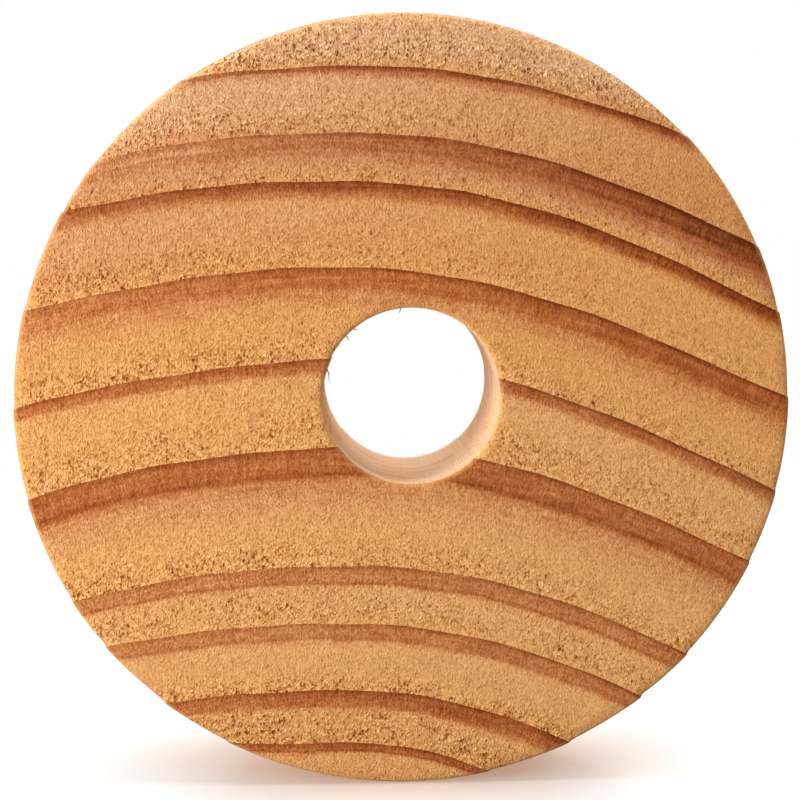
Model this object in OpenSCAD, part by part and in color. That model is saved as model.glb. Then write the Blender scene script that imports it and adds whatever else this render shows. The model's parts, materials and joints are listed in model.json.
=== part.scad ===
// Cedar ring for a clothes hanger: one disc of solid cedar, bored through so that it
// drops over the hanger's hook and rests on its shoulders, where it scents the clothes.
// It stands on its rim. The bore runs along Y, the front face looks along -Y, and the
// origin is on the bore's axis, halfway through the wood. The disc is sawn across the
// grain, so its two flat faces are end grain and its rim and bore are side grain.

/* [Disc] */
// Diameter of the disc
disc_d = 45; // [36:0.5:70]
// Thickness of the disc, from face to face
disc_t = 10; // [5:0.5:25]
// Radius of the worn edge between the rim and each face
rim_round = 0.3; // [0.1:0.1:1.5]

/* [Bore] */
// Diameter of the bore that the hanger's hook goes through
bore_d = 10.2; // [6:0.1:16]
// Radius of the worn edge round each mouth of the bore
mouth_round = 0.3; // [0.1:0.1:1]
// How far the drill wandered to the right of the disc's centre, seen from the front
bore_right = 0.4; // [-2:0.1:2]
// How far the drill wandered above the disc's centre
bore_up = 0.7; // [-2:0.1:2]

/* [Hidden] */
$fn = 180;
// How far each cutter runs out past the wood
overrun = 1;
disc_r = disc_d / 2;
bore_r = bore_d / 2;

// The wood worn off a sharp round edge on both faces. The rounding's arc is centred at
// arc_r from the axis, and turn swings the quarter that is cut away: 0 for an outer edge
// and 90 for the edge of a hole.
module worn_edges(arc_r, round_r, turn) {
    for (face = [0, 1])
        mirror([0, 0, face])
            rotate_extrude()
                translate([arc_r, disc_t / 2 - round_r])
                    rotate(turn)
                        difference() {
                            square(round_r + overrun);
                            circle(r = round_r);
                        }
}

// The disc before it is bored, lying flat on its own centre
module blank() {
    difference() {
        cylinder(r = disc_r, h = disc_t, center = true);
        worn_edges(disc_r - rim_round, rim_round, 0);
    }
}

// What the drill takes out, with the wear of both mouths
module drilling() {
    cylinder(r = bore_r, h = disc_t + 2 * overrun, center = true);
    worn_edges(bore_r + mouth_round, mouth_round, 90);
}

// The whole ring. The disc's own centre lies a little below and to the left of the bore.
module cedar_ring() {
    color("peru")
        rotate([90, 0, 0])
            difference() {
                translate([-bore_right, -bore_up, 0])
                    blank();
                drilling();
            }
}

cedar_ring();
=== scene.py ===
import json
from collections import namedtuple

import bpy
import numpy as np
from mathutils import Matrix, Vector


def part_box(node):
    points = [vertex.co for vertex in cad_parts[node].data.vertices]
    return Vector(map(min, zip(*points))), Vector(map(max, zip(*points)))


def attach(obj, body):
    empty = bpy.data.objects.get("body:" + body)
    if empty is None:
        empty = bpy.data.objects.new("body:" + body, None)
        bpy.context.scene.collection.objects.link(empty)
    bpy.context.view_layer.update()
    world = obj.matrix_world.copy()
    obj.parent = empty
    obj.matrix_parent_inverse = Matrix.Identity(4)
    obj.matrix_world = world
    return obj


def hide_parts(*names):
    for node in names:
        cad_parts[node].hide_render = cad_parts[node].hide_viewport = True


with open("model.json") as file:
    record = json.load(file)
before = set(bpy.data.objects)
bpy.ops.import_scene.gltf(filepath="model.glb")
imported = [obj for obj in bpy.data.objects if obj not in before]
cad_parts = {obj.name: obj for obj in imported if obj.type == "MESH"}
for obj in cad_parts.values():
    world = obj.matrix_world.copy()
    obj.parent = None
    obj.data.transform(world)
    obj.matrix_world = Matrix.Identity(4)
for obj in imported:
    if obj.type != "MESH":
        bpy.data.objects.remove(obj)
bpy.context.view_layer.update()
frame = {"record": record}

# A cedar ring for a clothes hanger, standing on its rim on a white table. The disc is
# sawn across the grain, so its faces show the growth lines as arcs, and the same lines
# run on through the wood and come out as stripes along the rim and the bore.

MM = 0.001

# Sizes of the ring, all from the frame. worn_r is the radius of its worn edges.
low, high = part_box("cedar_ring")
hook_bore = next(m for m in frame["record"]["mounts"] if m["name"] == "hook_bore")
disc_r = (high.x - low.x) / 2
disc_x = (high.x + low.x) / 2
disc_z = (high.z + low.z) / 2
half_t = (high.y - low.y) / 2
bore_r = hook_bore["dims"]["r_mm"] * MM
worn_r = half_t - hook_bore["dims"]["length_mm"] * MM / 2

# Growth of the tree, in millimetres from the disc's centre, from the pith side up.
# crown: height of the year's outer line above the centre, where the line is highest.
# left, right: how far the line has dropped 20 mm to either side of its crown.
# soft: how dark the early wood is, at the disc's left and right.
# late: depth of the dark late wood under the line, at the left and right.
# fade: depth at which the last of its tint has gone, at the left and right.
# shade: how dark the late wood is, at the left and right.
# second: strength of the second dark line, at the foot of the late wood.
# pink: how much paler and pinker the wood is than plain cedar, at the left and right.
#     Above 1 the pink reaches deeper, and below 0 it takes the late wood's own away.
# worn: how far the soft wood that grew outside the line is worn back at an edge.
# torn: how badly the saw has torn that soft wood, at the left and right.
Year = namedtuple("Year", "crown left right soft late fade shade second pink worn torn")
YEARS = [
    Year(-26.0, 0.0, 8.0, (0.10, 0.12), (0.8, 0.8), (1.2, 1.2),
         (0.60, 0.60), 0.0, (0.1, 0.1), 0.10, (1.0, 1.0)),
    Year(-20.0, -1.0, 10.0, (0.08, 0.08), (0.5, 0.6), (0.9, 1.0),
         (0.70, 0.85), 0.8, (0.1, 0.1), 0.12, (1.9, 1.0)),
    Year(-16.8, 1.8, 7.3, (0.05, 0.05), (0.75, 1.45), (1.2, 1.7),
         (0.58, 1.05), 0.2, (0.1, 0.1), 0.24, (0.5, 0.3)),
    Year(-12.7, 2.3, 6.2, (0.03, 0.00), (0.9, 1.15), (1.5, 1.6),
         (0.50, 0.72), 0.6, (0.2, 0.25), 0.16, (1.35, 0.9)),
    Year(-9.25, 3.0, 5.7, (0.03, 0.00), (0.9, 1.25), (1.6, 1.8),
         (0.50, 0.65), 0.9, (0.15, 0.3), 0.15, (1.15, 0.5)),
    Year(-2.2, 3.4, 5.3, (0.02, 0.00), (1.7, 1.8), (5.2, 5.2),
         (0.80, 0.80), 0.8, (0.2, 0.3), 0.14, (1.35, 0.9)),
    Year(2.85, 3.0, 5.5, (0.02, 0.04), (0.7, 0.78), (1.3, 1.3),
         (0.70, 0.80), 0.0, (0.0, 0.35), 0.10, (1.0, 0.35)),
    Year(8.15, 2.8, 5.3, (0.08, 0.02), (1.1, 1.35), (3.2, 3.6),
         (0.60, 0.93), 0.1, (0.05, -0.1), 0.14, (1.2, 0.3)),
    Year(13.1, 2.6, 5.3, (0.24, 0.05), (0.5, 0.8), (1.3, 1.5),
         (0.84, 1.08), 0.0, (0.7, -0.25), 0.12, (0.6, 0.6)),
    Year(15.8, 3.2, 4.9, (0.25, 0.22), (0.7, 1.15), (1.5, 2.8),
         (0.32, 1.27), 0.4, (0.7, 0.6), 0.12, (1.5, 0.3)),
    Year(19.5, 3.5, 4.1, (0.03, 0.26), (0.20, 0.27), (0.6, 1.1),
         (0.62, 1.02), 0.0, (1.25, 0.15), 0.25, (1.6, 1.3)),
    Year(25.0, 3.5, 4.1, (0.08, 0.00), (0.8, 0.8), (1.2, 1.2),
         (0.60, 0.60), 0.0, (3.0, 2.4), 0.10, (1.0, 1.0)),
]
# Where the lines' crowns are, how far out their drops are given, and the distance over
# which they turn down to the right.
CROWN_X = -3.0
DROP_REACH = 20.0
RIGHT_BEND = 23.5
# Unevenness that all the lines share: a slow wave, a short ripple, and a lift where
# they come out at the right.
WAVE, WAVE_X, WAVE_Z = 0.06, 21.0, 24.0
RIPPLE, RIPPLE_X, RIPPLE_Z = 0.03, 0.9, 3.0
LIFT, LIFT_AT, LIFT_WIDTH, LIFT_HEIGHT = 0.4, 23.0, 3.0, 5.0
# The pith, from which the rays run out, and how far the lines sink for each millimetre
# that they run back into the wood.
PITH_X, PITH_DEPTH = -4.0, 50.0
GRAIN_SLOPE = 0.03
# The first share of each year's wood, in which its values change over.
CHANGE_OVER = 0.25


def growth_lines(x, z):
    """Height of every year's outer line over each point, one row for each year. A line
    drops to the left of its crown as a parabola and to the right as a hyperbola, and
    a slow wave, a ripple and a small lift at the right end bend all of them alike."""
    out = x - CROWN_X
    left = np.where(out < 0, (out / DROP_REACH) ** 2, 0)
    full = np.hypot(DROP_REACH, RIGHT_BEND) - RIGHT_BEND
    right = np.where(out > 0, (np.hypot(out, RIGHT_BEND) - RIGHT_BEND) / full, 0)
    uneven = WAVE * np.cos(2 * np.pi * (x / WAVE_X + z / WAVE_Z))
    uneven = uneven + RIPPLE * np.sin(x / RIPPLE_X + z / RIPPLE_Z)
    from_lift = ((x - LIFT_AT) / LIFT_WIDTH) ** 2 + (z / LIFT_HEIGHT) ** 2
    uneven = uneven + LIFT * np.exp(-from_lift)
    return np.array([y.crown - y.left * left - y.right * right + uneven for y in YEARS])


def tree_age(lines, z):
    """Years of growth at each point, as a number that rises by one from line to line."""
    return sum(np.clip((z - a) / (b - a), 0, 1) for a, b in zip(lines[:-1], lines[1:]))


def by_year(age, values):
    """Gives each year's wood its own value, changing over in its first quarter, where
    no late wood shows the change."""
    total = values[0] + 0 * age
    for year, (before, after) in enumerate(zip(values[:-1], values[1:]), 1):
        total = total + np.clip((age - year) / CHANGE_OVER, 0, 1) * (after - before)
    return total


def grown(x, y, z):
    """Everything about the growth at points x, y, z of the ring, in millimetres."""
    x = x - disc_x / MM
    z = z - disc_z / MM + GRAIN_SLOPE * (y + half_t / MM)
    lines = growth_lines(x, z)
    age = tree_age(lines, z)
    side = np.clip(x * MM / disc_r / 2 + 0.5, 0, 1)
    # A year's wood lies under its own line and outside the line of the year before.
    own, before = YEARS[1:], YEARS[:-1]

    def across(name, years):
        ends = [getattr(year, name) for year in years]
        return by_year(age, [a + (b - a) * side for a, b in ends])

    return {
        "age": age,
        "width": by_year(age, list(lines[1:] - lines[:-1])),
        "soft": across("soft", own),
        "late": across("late", own),
        "fade": across("fade", own),
        "shade": across("shade", own),
        "second": by_year(age, [year.second for year in own]),
        "pink": across("pink", own),
        "torn": across("torn", before),
        "worn": by_year(age, [year.worn for year in before]),
        "ray": np.hypot(PITH_X, PITH_DEPTH) * np.arctan2(x - PITH_X, z + PITH_DEPTH),
        "reach": np.hypot(x - PITH_X, z + PITH_DEPTH),
    }


# Rows of the ring's mesh round its section, and how deep the wear of the soft wood
# goes on each stretch of it, as a share of the year's full wear.
COLUMNS = 640
FACE_ROWS, BACK_ROWS, RIM_ROWS, BORE_ROWS, EDGE_ROWS = 64, 44, 14, 12, 4
FACE_WEAR, RIM_WEAR, EDGE_WEAR = 0.25, 0.55, 1.0
# Distance in millimetres over which the wear steps in and out at a growth line, and
# the power by which it lessens towards the next one.
STEP_WIDTH = 0.25
WEAR_POWER = 1.3
# How much of a mouth's worn edge still looks like the wall of the bore.
WALL_SHARE = 0.15


def section():
    """The ring's section as a closed run of rows, from the bore's front mouth over the
    front face, the rim and the back face, and back along the bore. Each row holds the
    radius, the depth, the share of the disc's own centre, the outward direction, the
    wear, how far it is end grain and how far it is on a worn edge. A flat stretch runs
    evenly from its start to its end, and a corner is a quarter of a circle."""

    def flat(start, end, share, normal, rows, wear, end_grain):
        t = np.arange(rows)[:, None] / rows
        start, end = np.array(start), np.array(end)
        place = start + (end - start) * t
        shares = share[0] + (share[1] - share[0]) * t
        fixed = np.tile([*normal, wear, end_grain, 0.0], (rows, 1))
        return np.hstack([place, shares, fixed])

    def corner(centre, turn, share, wear):
        t = np.arange(EDGE_ROWS)[:, None] / EDGE_ROWS
        angle = np.radians(turn[0] + (turn[1] - turn[0]) * t)
        normal = np.hstack([np.cos(angle), np.sin(angle)])
        edge = np.sin(np.pi * t)
        ends = np.abs(normal[:, 1:])
        rest = [np.full_like(t, share), normal, np.full_like(t, wear), ends, edge]
        return np.hstack([np.array(centre) + worn_r * normal, *rest])

    mouth_r, rim_r = bore_r + worn_r, disc_r - worn_r
    deep = half_t - worn_r
    parts = [
        flat((mouth_r, -half_t), (rim_r, -half_t), (0, 1), (0, -1), FACE_ROWS, FACE_WEAR, 1.0),
        corner((rim_r, -deep), (-90, 0), 1.0, EDGE_WEAR),
        flat((disc_r, -deep), (disc_r, deep), (1, 1), (1, 0), RIM_ROWS, RIM_WEAR, 0.0),
        corner((rim_r, deep), (0, 90), 1.0, EDGE_WEAR),
        flat((rim_r, half_t), (mouth_r, half_t), (1, 0), (0, 1), BACK_ROWS, FACE_WEAR, 1.0),
        corner((mouth_r, deep), (90, 180), 0.0, RIM_WEAR),
        flat((bore_r, deep), (bore_r, -deep), (0, 0), (-1, 0), BORE_ROWS, FACE_WEAR, 0.0),
        corner((mouth_r, -deep), (180, 270), 0.0, RIM_WEAR),
    ]
    return np.vstack(parts)


def ring_points():
    """The section carried once round the bore. Rows near the bore turn about the bore's
    axis, rows near the rim about the disc's own centre, and the face between them runs
    from the one to the other. The soft wood outside each growth line then goes in by
    its wear, most just past the line and less and less up to the next."""
    radius, depth, share, out, along, wear, end_grain, edge = section().T[:, :, None]
    angle = np.linspace(0, 2 * np.pi, COLUMNS, endpoint=False)[None, :]
    x = radius * np.cos(angle) + share * disc_x
    z = radius * np.sin(angle) + share * disc_z
    y = depth + 0 * angle
    growth = grown(x / MM, y / MM, z / MM)
    part = growth["age"] % 1
    past_line = part * growth["width"] / STEP_WIDTH
    before_line = (1 - part) * growth["width"] / STEP_WIDTH
    step = np.clip(past_line + 0.5, 0, 1) * np.clip(before_line + 0.5, 0, 1)
    sunk = wear * growth["worn"] * step * (1 - part) ** WEAR_POWER * MM
    x = x - sunk * out * np.cos(angle)
    z = z - sunk * out * np.sin(angle)
    y = y - sunk * along
    growth["end_grain"] = end_grain + 0 * angle
    growth["edge"] = edge + 0 * angle
    growth["in_bore"] = (radius < bore_r + worn_r * WALL_SHARE) + 0 * angle
    growth["depth"] = y / MM
    return np.stack([x, y, z], -1), growth


def closed_grid(name, points):
    """A mesh of quads over a grid of points that joins up with itself both ways."""
    rows, columns = points.shape[:2]
    index = np.arange(rows * columns).reshape(rows, columns)
    right, down = np.roll(index, -1, 1), np.roll(index, -1, 0)
    corners = np.stack([index, right, np.roll(right, -1, 0), down], -1).reshape(-1, 4)
    mesh = bpy.data.meshes.new(name)
    mesh.vertices.add(rows * columns)
    mesh.vertices.foreach_set("co", points.reshape(-1).astype(np.float32))
    mesh.loops.add(corners.size)
    mesh.loops.foreach_set("vertex_index", corners.reshape(-1).astype(np.int32))
    mesh.polygons.add(len(corners))
    mesh.polygons.foreach_set("loop_start", np.arange(0, corners.size, 4, dtype=np.int32))
    mesh.polygons.foreach_set("use_smooth", np.ones(len(corners), bool))
    mesh.update(calc_edges=True)
    mesh.validate()
    return mesh


def number_per_point(mesh, name, values):
    """Keeps one number for each vertex under a name that a material can read."""
    layer = mesh.attributes.new(name, "FLOAT", "POINT")
    layer.data.foreach_set("value", np.ascontiguousarray(values, np.float32).reshape(-1))


def set_out(name, data):
    """A new object of the scene, at the origin, with its mesh, lamp or camera."""
    thing = bpy.data.objects.new(name, data)
    bpy.context.scene.collection.objects.link(thing)
    return thing


class Wiring:
    """The nodes of a material or a world, laid down and joined in short words."""

    def __init__(self, owner):
        owner.use_nodes = True
        self.tree = owner.node_tree
        self.tree.nodes.clear()

    def add(self, kind, sockets=None, **settings):
        """A new node, with each of its sockets set to a value or joined to a node."""
        node = self.tree.nodes.new(kind)
        for name, value in settings.items():
            setattr(node, name, value)
        for key, value in (sockets or {}).items():
            if isinstance(value, bpy.types.NodeSocket):
                self.tree.links.new(value, node.inputs[key])
            else:
                node.inputs[key].default_value = value
        return node

    def math(self, operation, a, b=0.0):
        return self.add("ShaderNodeMath", {0: a, 1: b}, operation=operation).outputs[0]

    def times(self, a, b):
        return self.math("MULTIPLY", a, b)

    def plus(self, a, b):
        return self.math("ADD", a, b)

    def less(self, a, b):
        return self.math("SUBTRACT", a, b)

    def opposite(self, a):
        return self.math("SUBTRACT", 1.0, a)

    def rise(self, value, start, end):
        """0 before start and 1 after end, with a smooth rise between them."""
        sockets = {"Value": value, "From Min": start, "From Max": end}
        kind = "SMOOTHSTEP"
        return self.add("ShaderNodeMapRange", sockets, interpolation_type=kind).outputs[0]

    def mix(self, factor, a, b, way="MIX"):
        sockets = {0: factor, 6: a, 7: b}
        return self.add("ShaderNodeMix", sockets, data_type="RGBA", blend_type=way).outputs[2]

    def tint(self, colour, amount, shift):
        """The colour with its red, green and blue each multiplied by the shift's, as far
        as the amount says."""
        return self.mix(amount, colour, self.mix(1.0, colour, shift, "MULTIPLY"))

    def place(self):
        """The point on the object itself, in metres."""
        return self.add("ShaderNodeTexCoord").outputs["Object"]

    def vector(self, operation, *sockets):
        sockets = dict(enumerate(sockets))
        return self.add("ShaderNodeVectorMath", sockets, operation=operation).outputs[0]

    def length(self, place):
        return self.add("ShaderNodeVectorMath", {0: place}, operation="LENGTH").outputs["Value"]

    def stretched(self, place, scale):
        return self.add("ShaderNodeMapping", {"Vector": place, "Scale": scale}).outputs[0]

    def number(self, name):
        """One of the numbers that the mesh keeps for each point."""
        return self.add("ShaderNodeAttribute", attribute_name=name).outputs["Fac"]

    def noise(self, place, scale, detail=2.0, rough=0.5):
        sockets = {"Vector": place, "Scale": scale, "Detail": detail, "Roughness": rough}
        return self.add("ShaderNodeTexNoise", sockets).outputs["Fac"]


def paint(red, green, blue):
    """A colour given in the 0 to 255 steps of a screen, as light."""
    steps = np.array([red, green, blue]) / 255
    light = np.where(steps > 0.04045, ((steps + 0.055) / 1.055) ** 2.4, steps / 12.92)
    return (*light, 1.0)


# Plain cedar, from the palest early wood at 0 to the darkest late wood at 1.
CEDAR_TONES = [
    (0.0, paint(236, 172, 102)),
    (0.2, paint(226, 156, 91)),
    (0.4, paint(206, 127, 66)),
    (0.6, paint(184, 100, 46)),
    (0.8, paint(153, 74, 28)),
    (1.0, paint(112, 50, 13)),
]
LINE_BROWN = paint(100, 38, 2)
# Pale colour of the bore's wall: painted light, for the bright light that falls into the bore from
# behind.
BORE_WALL_PAINTED_LIGHT = paint(235, 202, 163)
# Painted highlight on the rounded worn edges.
EDGE_HIGHLIGHT = paint(244, 190, 116)
# What multiplies the wood's colour where it is pinker, in the specks of torn and fine
# grain, and on the side grain of the rim. The dark and light specks also give the
# painted shade under raised specks and the painted highlight on their upper side, and
# the deep specks are pits: darker wood with painted shade in their hollows.
PINKER = (1.0, 1.16, 1.75, 1.0)
DARK_SPECK_AND_SHADE = (0.66, 0.44, 0.27, 1.0)
DEEP_SPECK_AND_SHADE = (0.52, 0.33, 0.20, 1.0)
LIGHT_SPECK_AND_HIGHLIGHT = (1.25, 1.42, 1.6, 1.0)
SIDE_GRAIN = (0.68, 0.62, 0.56, 1.0)

# Cells of noise in a metre of the ring along X, Y and Z: the wood's own grain, drawn
# out along the trunk, and the drill's marks, drawn out round the bore.
GRAIN_CELLS = (1150, 90, 900)
DRILL_CELLS = (260, 1900, 260)
# Cells of noise in a millimetre along a growth line, along a ray and along the trunk.
RAY_CELLS = (7.0, 1.4, 0.3)
STREAK_CELLS = (0.35, 4.0, 0.3)

# Shares of the late wood's depth at which its band and its haze begin to fade, at
# which the band has gone, and at which the dark line at its foot begins, is darkest
# and has gone.
BAND_FADES, BAND_GONE = 0.7, 1.35
FOOT_FROM, FOOT_DARKEST, FOOT_GONE = 0.72, 0.93, 1.14
# Depths under a line, in millimetres, over which the band's outer edge, the thin brown
# line and the wood's pink fade, and how ragged the band and the brown line are.
OUTER_FADES, LINE_FADES, PINK_FADES = (0.1, 0.6), (0.06, 0.28), (1.5, 4.0)
RAGGED_BAND, RAGGED_LINE = 0.25, 0.12
# Heights over a line, in millimetres, over which the torn wood gets better, first
# where it is torn worst and then all of it.
WORST_FADES, TORN_FADES = (0.4, 1.5), (0.9, 3.0)

# What each part of the growth adds to the wood's tone. The rays and streaks have a
# share everywhere and a further share in the late wood.
BAND_TONE, HAZE_TONE, OUTER_TONE, FOOT_TONE = 0.27, 0.44, 0.12, 0.24
RAY_TONE, RAY_LATE_TONE = 0.05, 0.4
STREAK_TONE, STREAK_LATE_TONE = 0.1, 0.45
PATCH_TONE = 0.1

# Round specks in the wood. scale: cells for each of the grain's own. fewest, most: a
# cell with a random number under fewest has no speck, and over most a full one. dark:
# how dark a flat speck is, and for a raised speck how strong the painted shade under it
# is; a pit's dark is partly painted shade. light: how strong the painted highlight on a
# raised speck's upper side is. above: how far up, in the grain's cells, a speck that
# casts painted shade on this place lies. Only raised specks have a painted highlight.
Specks = namedtuple("Specks", "scale fewest most dark light above", defaults=(0.0, None))
LUMPS = Specks(2.0, 0.1, 0.5, 0.85, 0.7, (0.06, 0.0, 0.14))
CRUMBS = Specks(4.6, 0.05, 0.4, 0.8, 0.8, (0.03, 0.0, 0.08))
PITS = Specks(3.3, 0.3, 0.6, 0.85)
PORES = Specks(5.0, 0.5, 0.75, 0.9)
SPECK_EDGE = (0.12, 0.5)
# How far the specks of torn wood are knocked out of their places, in the grain's cells.
CROOKED = 0.3

# Fine flecks all over the wood. scale: cells for each of the grain's own. dark, light:
# the stretch of the noise over which it turns dark, and light.
Flecks = namedtuple("Flecks", "scale dark light")
GRAIN = Flecks(3.4, (0.5, 0.66), (0.33, 0.5))
GRIT = Flecks(8.0, (0.48, 0.7), (0.3, 0.5))
GRIT_DARK, GRIT_LIGHT = 0.5, 0.55

# How far the painted light on the bore's wall, the drill's marks on it and the painted
# highlight on the worn edges hide the wood's own colour.
BORE_LIGHT_COVER, MARK_DEPTH, EDGE_HIGHLIGHT_COVER = 0.78, 0.5, 0.3

# Heights and depths in the bump, in shares of its full height.
CRUMB_HEIGHT, PIT_DEPTH, GRAIN_DEPTH, PORE_DEPTH, RAY_HEIGHT = 0.35, 0.7, 0.4, 0.4, 0.2
BUMP_HEIGHT = 0.1 * MM
GLOSS = 0.06

Growth = namedtuple("Growth", "under over band haze foot outer rays streaks patches ragged")


def growth_here(w, grain):
    """Where a point is in its year's growth: its distance under the year's outer line
    and over the line before, how far it is in the late wood's solid band, in the haze
    under that, on the dark line at the band's foot or on the band's outer edge, and
    the rays, streaks, patches and ragged edges there, each as noise."""

    def drawn_along(cells, detail, rough):
        numbers = [w.times(w.number(name), n) for name, n in zip(("ray", "reach", "depth"), cells)]
        place = w.add("ShaderNodeCombineXYZ", dict(enumerate(numbers))).outputs[0]
        return w.less(w.noise(place, 1.0, detail, rough), 0.5)

    part, width = w.math("FRACT", w.number("age")), w.number("width")
    late = w.number("late")
    under = w.times(w.opposite(part), width)
    ragged = w.less(w.noise(grain, 1.6, 3.0), 0.5)
    depth = w.plus(under, w.times(ragged, RAGGED_BAND))
    fades, gone = w.times(late, BAND_FADES), w.times(late, BAND_GONE)
    foot_from, darkest = w.times(late, FOOT_FROM), w.times(late, FOOT_DARKEST)
    foot_start = w.rise(depth, foot_from, darkest)
    foot_end = w.opposite(w.rise(depth, darkest, w.times(late, FOOT_GONE)))
    return Growth(
        under=under,
        over=w.times(part, width),
        band=w.opposite(w.rise(depth, fades, gone)),
        haze=w.opposite(w.rise(depth, fades, w.number("fade"))),
        foot=w.times(w.times(foot_start, foot_end), w.number("second")),
        outer=w.opposite(w.rise(under, *OUTER_FADES)),
        rays=drawn_along(RAY_CELLS, 2.0, 0.5),
        streaks=drawn_along(STREAK_CELLS, 3.0, 0.6),
        patches=w.noise(grain, 0.35, 2.0),
        ragged=ragged,
    )


def wood_tone(w, here):
    """How dark the wood is, on the scale of the cedar tones."""
    shade = w.number("shade")
    late_wood = w.plus(w.times(here.band, BAND_TONE), w.times(here.haze, HAZE_TONE))
    ray_depth = w.plus(RAY_TONE, w.times(here.haze, RAY_LATE_TONE))
    streak_depth = w.plus(STREAK_TONE, w.times(here.haze, STREAK_LATE_TONE))
    tone = w.times(shade, late_wood)
    tone = w.plus(tone, w.times(w.number("soft"), w.opposite(here.band)))
    tone = w.plus(tone, w.times(w.times(here.outer, shade), OUTER_TONE))
    tone = w.plus(tone, w.times(here.foot, FOOT_TONE))
    tone = w.plus(tone, w.times(here.rays, ray_depth))
    tone = w.plus(tone, w.times(here.streaks, streak_depth))
    return w.plus(tone, w.times(w.less(here.patches, 0.5), PATCH_TONE))


def wood_colour(w, here, tone):
    """The tone's colour, made pinker as far as the year says. The pink lessens to
    about half under the line, and the late wood has a little of its own."""
    wood = w.add("ShaderNodeValToRGB", {"Fac": tone})
    ramp = wood.color_ramp
    while len(ramp.elements) < len(CEDAR_TONES):
        ramp.elements.new(0.5)
    for element, (place, colour) in zip(ramp.elements, CEDAR_TONES):
        element.position, element.color = place, colour
    fading = w.opposite(w.times(w.rise(here.under, *PINK_FADES), 0.55))
    pink = w.plus(w.times(w.number("pink"), fading), w.times(here.haze, 0.3))
    return w.tint(wood.outputs["Color"], pink, PINKER)


def tearing(w, here, grain):
    """How badly the saw has torn the wood here: most in the soft wood just over a line,
    less from there on and in the haze, and more in some clusters than in others."""
    soft = w.opposite(w.times(w.rise(here.over, *TORN_FADES), 0.6))
    soft = w.times(soft, w.opposite(here.haze))
    clusters = w.rise(w.noise(grain, 0.55, 2.0), 0.25, 0.6)
    torn = w.times(soft, w.plus(0.45, w.times(clusters, 0.6)))
    torn = w.times(torn, w.number("torn"))
    return w.times(torn, w.less(1.4, w.times(w.rise(here.over, *WORST_FADES), 0.45)))


def scattered(w, place, specks):
    """Round specks on a scatter of cells: 1 in the middle of a cell that has one and 0
    away from it."""
    cell = w.add("ShaderNodeTexVoronoi", {"Vector": place, "Scale": specks.scale}).outputs
    own = w.add("ShaderNodeSeparateColor", {0: cell["Color"]}).outputs[0]
    speck = w.opposite(w.rise(cell["Distance"], *SPECK_EDGE))
    return w.times(speck, w.rise(own, specks.fewest, specks.most))


def raised(w, colour, place, specks, amount):
    """The colour with raised specks on it, and the specks. A speck gets a painted
    highlight where none is just above it, and the wood gets painted shade where a speck is
    above and none is here, as if lit from above."""
    here = scattered(w, place, specks)
    above = scattered(w, w.vector("ADD", place, specks.above), specks)
    painted_highlight = w.times(w.times(here, w.opposite(above)), amount)
    painted_shade = w.times(w.times(above, w.opposite(here)), amount)
    colour = w.tint(colour, w.times(painted_shade, specks.dark), DARK_SPECK_AND_SHADE)
    return w.tint(colour, w.times(painted_highlight, specks.light), LIGHT_SPECK_AND_HIGHLIGHT), here


def flecked(w, colour, place, flecks, dark, light):
    """The colour with dark flecks where a noise is high and light ones where it is low,
    as strong as dark and light say, and the noise."""
    noise = w.noise(place, flecks.scale, 2.0, 0.65)
    is_dark = w.rise(noise, *flecks.dark)
    is_light = w.opposite(w.rise(noise, *flecks.light))
    colour = w.tint(colour, w.times(is_dark, dark), DARK_SPECK_AND_SHADE)
    return w.tint(colour, w.times(is_light, light), LIGHT_SPECK_AND_HIGHLIGHT), noise


def dark_line(w, here, place):
    """How strong the thin brown line is that ends each year: stronger to the right and
    where the late wood is dark, broken by patches, with a ragged edge."""
    across = w.add("ShaderNodeSeparateXYZ", {0: place}).outputs[0]
    to_right = w.rise(across, -disc_r, disc_r)
    strength = w.times(w.rise(here.patches, 0.25, 0.6), w.plus(0.35, w.times(to_right, 0.6)))
    strength = w.times(strength, w.plus(0.2, w.times(w.number("shade"), 0.75)))
    depth = w.plus(here.under, w.times(here.ragged, RAGGED_LINE))
    line = w.opposite(w.rise(depth, *LINE_FADES))
    return w.times(line, w.plus(0.12, w.times(strength, 0.65)))


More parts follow.
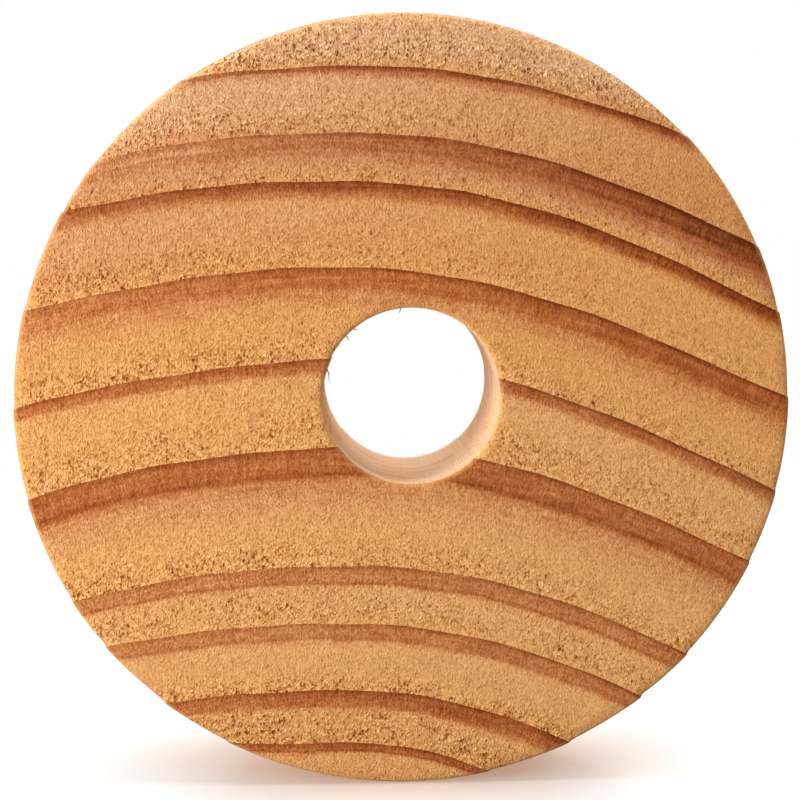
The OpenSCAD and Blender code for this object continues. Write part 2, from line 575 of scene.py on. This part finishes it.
def cedar_material():
    """Bare cedar. The ring's own numbers say where each year's growth is; the nodes turn
    them into late wood, its dark outer line, pits in the soft early wood and rays."""
    material = bpy.data.materials.new("bare_cedar")
    w = Wiring(material)
    place = w.place()
    grain_place = w.stretched(place, GRAIN_CELLS)
    here = growth_here(w, grain_place)
    tone = wood_tone(w, here)
    colour = wood_colour(w, here, tone)

    torn = tearing(w, here, grain_place)
    sockets = {"Vector": grain_place, "Scale": 4.0, "Detail": 1.0}
    jitter = w.add("ShaderNodeTexNoise", sockets).outputs["Color"]
    crooked = w.vector("MULTIPLY_ADD", jitter, (CROOKED,) * 3, grain_place)
    # Lumps and crumbs, each with a painted highlight on its upper side and painted shade under it.
    colour, _ = raised(w, colour, crooked, LUMPS, w.rise(torn, 0.55, 1.2))
    colour, crumb = raised(w, colour, crooked, CRUMBS, torn)
    # Pits: darker wood, with painted shade in their hollows.
    huddle = w.rise(w.noise(grain_place, 1.3, 1.0), 0.4, 0.58)
    pit = w.times(scattered(w, crooked, PITS), w.times(torn, huddle))
    pore = w.times(scattered(w, grain_place, PORES), w.plus(0.35, w.times(torn, 0.6)))
    colour = w.tint(colour, w.times(pit, PITS.dark), DEEP_SPECK_AND_SHADE)
    colour = w.tint(colour, w.times(pore, PORES.dark), DARK_SPECK_AND_SHADE)

    coarse = w.plus(0.12, w.times(torn, 0.2))
    colour, grain = flecked(w, colour, grain_place, GRAIN, coarse, coarse)
    fine = w.plus(w.plus(0.84, w.times(w.number("torn"), 0.28)), w.times(here.haze, 0.5))
    dark, light = w.times(fine, GRIT_DARK), w.times(fine, GRIT_LIGHT)
    colour, grit = flecked(w, colour, grain_place, GRIT, dark, light)

    colour = w.mix(dark_line(w, here, place), colour, LINE_BROWN)
    colour = w.tint(colour, w.opposite(w.number("end_grain")), SIDE_GRAIN)
    # Painted light: the bore's wall is painted pale, as the bright light from behind falls on it.
    in_bore = w.number("in_bore")
    colour = w.mix(w.times(in_bore, BORE_LIGHT_COVER), colour, BORE_WALL_PAINTED_LIGHT)
    drill_marks = w.noise(w.stretched(place, DRILL_CELLS), 1.0, 3.0, 0.65)
    drill_marks = w.times(in_bore, w.rise(drill_marks, 0.54, 0.66))
    colour = w.tint(colour, w.times(drill_marks, MARK_DEPTH), DARK_SPECK_AND_SHADE)
    # Painted highlight on the rounded worn edges, the bore's mouths among them.
    colour = w.mix(w.times(w.number("edge"), EDGE_HIGHLIGHT_COVER), colour, EDGE_HIGHLIGHT)

    height = w.less(w.times(w.times(crumb, torn), CRUMB_HEIGHT), w.times(pit, PIT_DEPTH))
    height = w.less(height, w.times(w.times(grain, torn), GRAIN_DEPTH))
    height = w.less(height, w.less(grit, 0.5))
    height = w.less(height, w.times(pore, PORE_DEPTH))
    height = w.plus(height, w.times(here.rays, w.times(here.haze, RAY_HEIGHT)))
    sockets = {"Height": height, "Strength": 1.0, "Distance": BUMP_HEIGHT}
    bump = w.add("ShaderNodeBump", sockets).outputs[0]
    rough = w.plus(0.72, w.times(w.less(tone, 0.3), -0.25))
    sockets = {"Base Color": colour, "Roughness": rough, "Normal": bump}
    surface = w.add("ShaderNodeBsdfPrincipled", {**sockets, "Specular IOR Level": GLOSS})
    w.add("ShaderNodeOutputMaterial", {"Surface": surface.outputs[0]})
    return material


# The numbers of the growth that the material reads.
READ_BY_MATERIAL = (
    "age", "width", "soft", "late", "fade", "shade", "second", "pink",
    "torn", "ray", "reach", "depth", "end_grain", "edge", "in_bore",
)


def make_ring(material):
    """The whole ring, as one closed mesh that stands for the CAD disc."""
    points, growth = ring_points()
    mesh = closed_grid("cedar_ring_wood", points)
    for name in READ_BY_MATERIAL:
        number_per_point(mesh, name, growth[name])
    mesh.materials.append(material)
    return set_out("cedar_ring_wood", mesh)


# Loose fibres that the drill left on the front mouth of the bore: how far round the
# mouth from the right each one stands, its length and the way its tip leans.
FIBRES = [
    (97, 0.48, 20),
    (131, 0.42, -35),
    (137, 0.45, 10),
    (144, 0.25, 30),
    (161, 1.05, 58),
    (162.5, 0.5, 25),
]
FIBRE_R = 0.035
FIBRE_RINGS, FIBRE_SIDES = 10, 6
# Where on the worn mouth a fibre stands, as a share of its width, how deep its root is
# in the wood, how far behind the front face it starts and how far it comes forward.
FIBRE_STAND = 0.4
FIBRE_ROOT, FIBRE_BACK, FIBRE_FORWARD = 0.08, 0.15, 0.1


def fibre_points(turn, length, lean):
    """A tapering tube that grows out of the mouth's edge towards the bore's axis and
    curls to one side by the square of the way along it. Its thickness falls to a tenth
    as the height of an ellipse does."""
    t = np.linspace(0, 1, FIBRE_RINGS)[:, None]
    around = np.linspace(0, 2 * np.pi, FIBRE_SIDES, endpoint=False)[None, :]
    turn, lean = np.radians(turn), np.radians(lean)
    inwards = length * t * np.cos(lean) - FIBRE_ROOT
    sideways = length * t**2 * np.sin(lean)
    thick = FIBRE_R * np.sqrt(np.clip(1 - t**2, 0.01, 1))
    foot = bore_r / MM + worn_r / MM * FIBRE_STAND
    radial = foot - inwards + thick * np.cos(around) * np.sin(lean)
    tangential = sideways + thick * np.cos(around) * np.cos(lean)
    x = radial * np.cos(turn) - tangential * np.sin(turn)
    y = -half_t / MM + FIBRE_BACK - FIBRE_FORWARD * t + thick * np.sin(around)
    z = radial * np.sin(turn) + tangential * np.cos(turn)
    return np.stack([x, y, z], -1) * MM


def make_fibres(material):
    """All the loose fibres as one mesh of closed tubes."""
    tubes = np.array([fibre_points(*fibre) for fibre in FIBRES])
    index = np.arange(tubes.size // 3).reshape(tubes.shape[:3])
    right = np.roll(index, -1, 2)
    sides = np.stack([index[:, :-1], right[:, :-1], right[:, 1:], index[:, 1:]], -1)
    faces = sides.reshape(-1, 4).tolist()
    faces += index[:, 0, ::-1].tolist()
    faces += index[:, -1].tolist()
    mesh = bpy.data.meshes.new("loose_fibres")
    mesh.from_pydata(tubes.reshape(-1, 3).tolist(), [], faces)
    mesh.polygons.foreach_set("use_smooth", np.ones(len(faces), bool))
    mesh.materials.append(material)
    return set_out("loose_fibres", mesh)


def fibre_material():
    """Torn wood, in fine lighter and darker patches."""
    material = bpy.data.materials.new("torn_fibre")
    w = Wiring(material)
    shade = w.noise(w.place(), 9000.0)
    colour = w.mix(shade, paint(120, 84, 58), paint(170, 126, 92))
    surface = w.add("ShaderNodeBsdfPrincipled", {"Base Color": colour, "Roughness": 0.8})
    w.add("ShaderNodeOutputMaterial", {"Surface": surface.outputs[0]})
    return material


def seen_directly(w):
    """1 for what the camera, a mirror or a glass sees, and 0 for what lights the wood."""
    path = w.add("ShaderNodeLightPath").outputs
    direct = w.math("MAXIMUM", path["Is Camera Ray"], path["Is Glossy Ray"])
    return w.math("MAXIMUM", direct, path["Is Transmission Ray"])


# The table top reaches this far each way, in metres, and lies this far under the rim.
TABLE_REACH = 3.0
TABLE_GAP = 0.02 * MM
TABLE_GREY = (0.28, 0.28, 0.28, 1.0)
# It turns into the backdrop's white between these distances from the bore.
WHITE_FROM, WHITE_BY = 45 * MM, 120 * MM
# It glows a little to the camera: plain white further out, and close to the ring's foot
# weaker, a painted contact shadow, and warm, a painted bounce of light from the wood. Its
# distance from the foot counts half as much sideways as it does front to back.
FOOT_SHAPE = (0.5, 1.0, 0.0)
FOOT_END, OPEN_START = 0.5 * MM, 11 * MM
PAINTED_BOUNCE_GLOW, OPEN_GLOW = (1, 0.48, 0.2, 1), (1, 0.98, 0.96, 1)
FLOOR_GLOW, PAINTED_SHADOW_SHARE = 0.6, 0.7


def make_floor():
    """A white table top with a faint gloss, just under the rim. Close to the ring's foot its
    glow carries a painted contact shadow and a painted warm bounce. Past the ring's shadow
    it turns into the plain white of the backdrop."""
    height = low.z - TABLE_GAP
    signs = [(-1, -1), (1, -1), (1, 1), (-1, 1)]
    corners = [(a * TABLE_REACH, b * TABLE_REACH, height) for a, b in signs]
    mesh = bpy.data.meshes.new("table_top")
    mesh.from_pydata(corners, [], [(0, 1, 2, 3)])
    material = bpy.data.materials.new("white_table")
    w = Wiring(material)
    place = w.place()
    direct = seen_directly(w)
    far = w.rise(w.length(place), WHITE_FROM, WHITE_BY)
    from_foot = w.vector("SUBTRACT", place, (disc_x, 0.0, height))
    from_foot = w.length(w.vector("MULTIPLY", from_foot, FOOT_SHAPE))
    open_floor = w.rise(from_foot, FOOT_END, OPEN_START)
    # Painted contact shadow and painted bounce: the glow is weaker close to the foot, and warm
    # there.
    glow = w.plus(PAINTED_SHADOW_SHARE, w.times(open_floor, 1 - PAINTED_SHADOW_SHARE))
    sockets = {
        "Base Color": TABLE_GREY,
        "Roughness": 0.3,
        "Emission Color": w.mix(open_floor, PAINTED_BOUNCE_GLOW, OPEN_GLOW),
        "Emission Strength": w.times(direct, w.times(glow, FLOOR_GLOW)),
    }
    table = w.add("ShaderNodeBsdfPrincipled", sockets).outputs[0]
    white = w.add("ShaderNodeEmission", {"Color": (1, 1, 1, 1), "Strength": 1.0}).outputs[0]
    surface = w.add("ShaderNodeMixShader", {0: w.times(direct, far), 1: table, 2: white})
    w.add("ShaderNodeOutputMaterial", {"Surface": surface.outputs[0]})
    mesh.materials.append(material)
    set_out("table_top", mesh)


# How strongly the white surround lights the wood.
ROOM_LIGHT = 0.40


def make_backdrop():
    """A white surround that lights the wood softly and looks white to the camera."""
    world = bpy.data.worlds.new("white_studio")
    bpy.context.scene.world = world
    w = Wiring(world)
    strength = w.plus(ROOM_LIGHT, w.times(seen_directly(w), 1 - ROOM_LIGHT))
    sky = w.add("ShaderNodeBackground", {"Color": (1, 1, 1, 1), "Strength": strength})
    w.add("ShaderNodeOutputWorld", {"Surface": sky.outputs[0]})


def direction(azimuth, elevation):
    """The way from the ring to something that stands so many degrees round to the right
    of the front, and so many degrees up."""
    azimuth, elevation = np.radians([azimuth, elevation])
    level = np.cos(elevation)
    return Vector((np.sin(azimuth) * level, -np.cos(azimuth) * level, np.sin(elevation)))


def make_lamp(name, azimuth, elevation, distance, size, level, colour=(1, 1, 1)):
    """A soft square lamp that looks at the ring. Level 1 would light a white surface
    that faces the lamp from the origin to full white."""
    place = direction(azimuth, elevation) * distance
    lamp = bpy.data.lights.new(name, "AREA")
    lamp.size, lamp.energy, lamp.color = size, level * np.pi**2 * distance**2, colour
    holder = set_out(name, lamp)
    holder.location = place
    holder.rotation_euler = (-place).to_track_quat("-Z", "Y").to_euler()


# The photograph's view of the front face: from where, in degrees, from how far off in
# millimetres, and how far the camera aims to the left of the face's middle and above it.
VIEW_AZIMUTH, VIEW_ELEVATION = -2.3, 7.0
VIEW_DISTANCE = 92.0
AIM_LEFT, AIM_UP = 0.28, 0.50
LENS, SENSOR = 71.55, 36.0


def make_camera():
    """A camera that looks at the middle of the front face, a little to one side."""
    back = direction(VIEW_AZIMUTH, VIEW_ELEVATION)
    turned = (-back).to_track_quat("-Z", "Y")
    aim = Vector((disc_x, -half_t, disc_z)) + turned @ Vector((-AIM_LEFT, AIM_UP, 0)) * MM
    camera = set_out("camera", bpy.data.cameras.new("camera"))
    camera.data.lens, camera.data.sensor_width = LENS, SENSOR
    camera.data.clip_start = 1 * MM
    camera.location = aim + back * VIEW_DISTANCE * MM
    camera.rotation_mode = "QUATERNION"
    camera.rotation_quaternion = turned
    bpy.context.scene.camera = camera


make_camera()
make_backdrop()
make_floor()
make_lamp("softbox_above", azimuth=0, elevation=88, distance=0.45, size=0.14, level=1.0)
make_lamp("window_left", azimuth=-62, elevation=7, distance=0.16, size=0.08, level=1.03)
make_lamp("bounce_behind", azimuth=-150, elevation=22, distance=0.40, size=0.2, level=0.33)
make_lamp("backdrop_lamp", azimuth=160, elevation=45, distance=0.40, size=0.3, level=0.85,
          colour=(1, 0.93, 0.85))

ring = make_ring(cedar_material())
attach(ring, "root")
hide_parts("cedar_ring")

fibres = make_fibres(fibre_material())
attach(fibres, "root")

bpy.context.scene.view_settings.view_transform = "Standard"
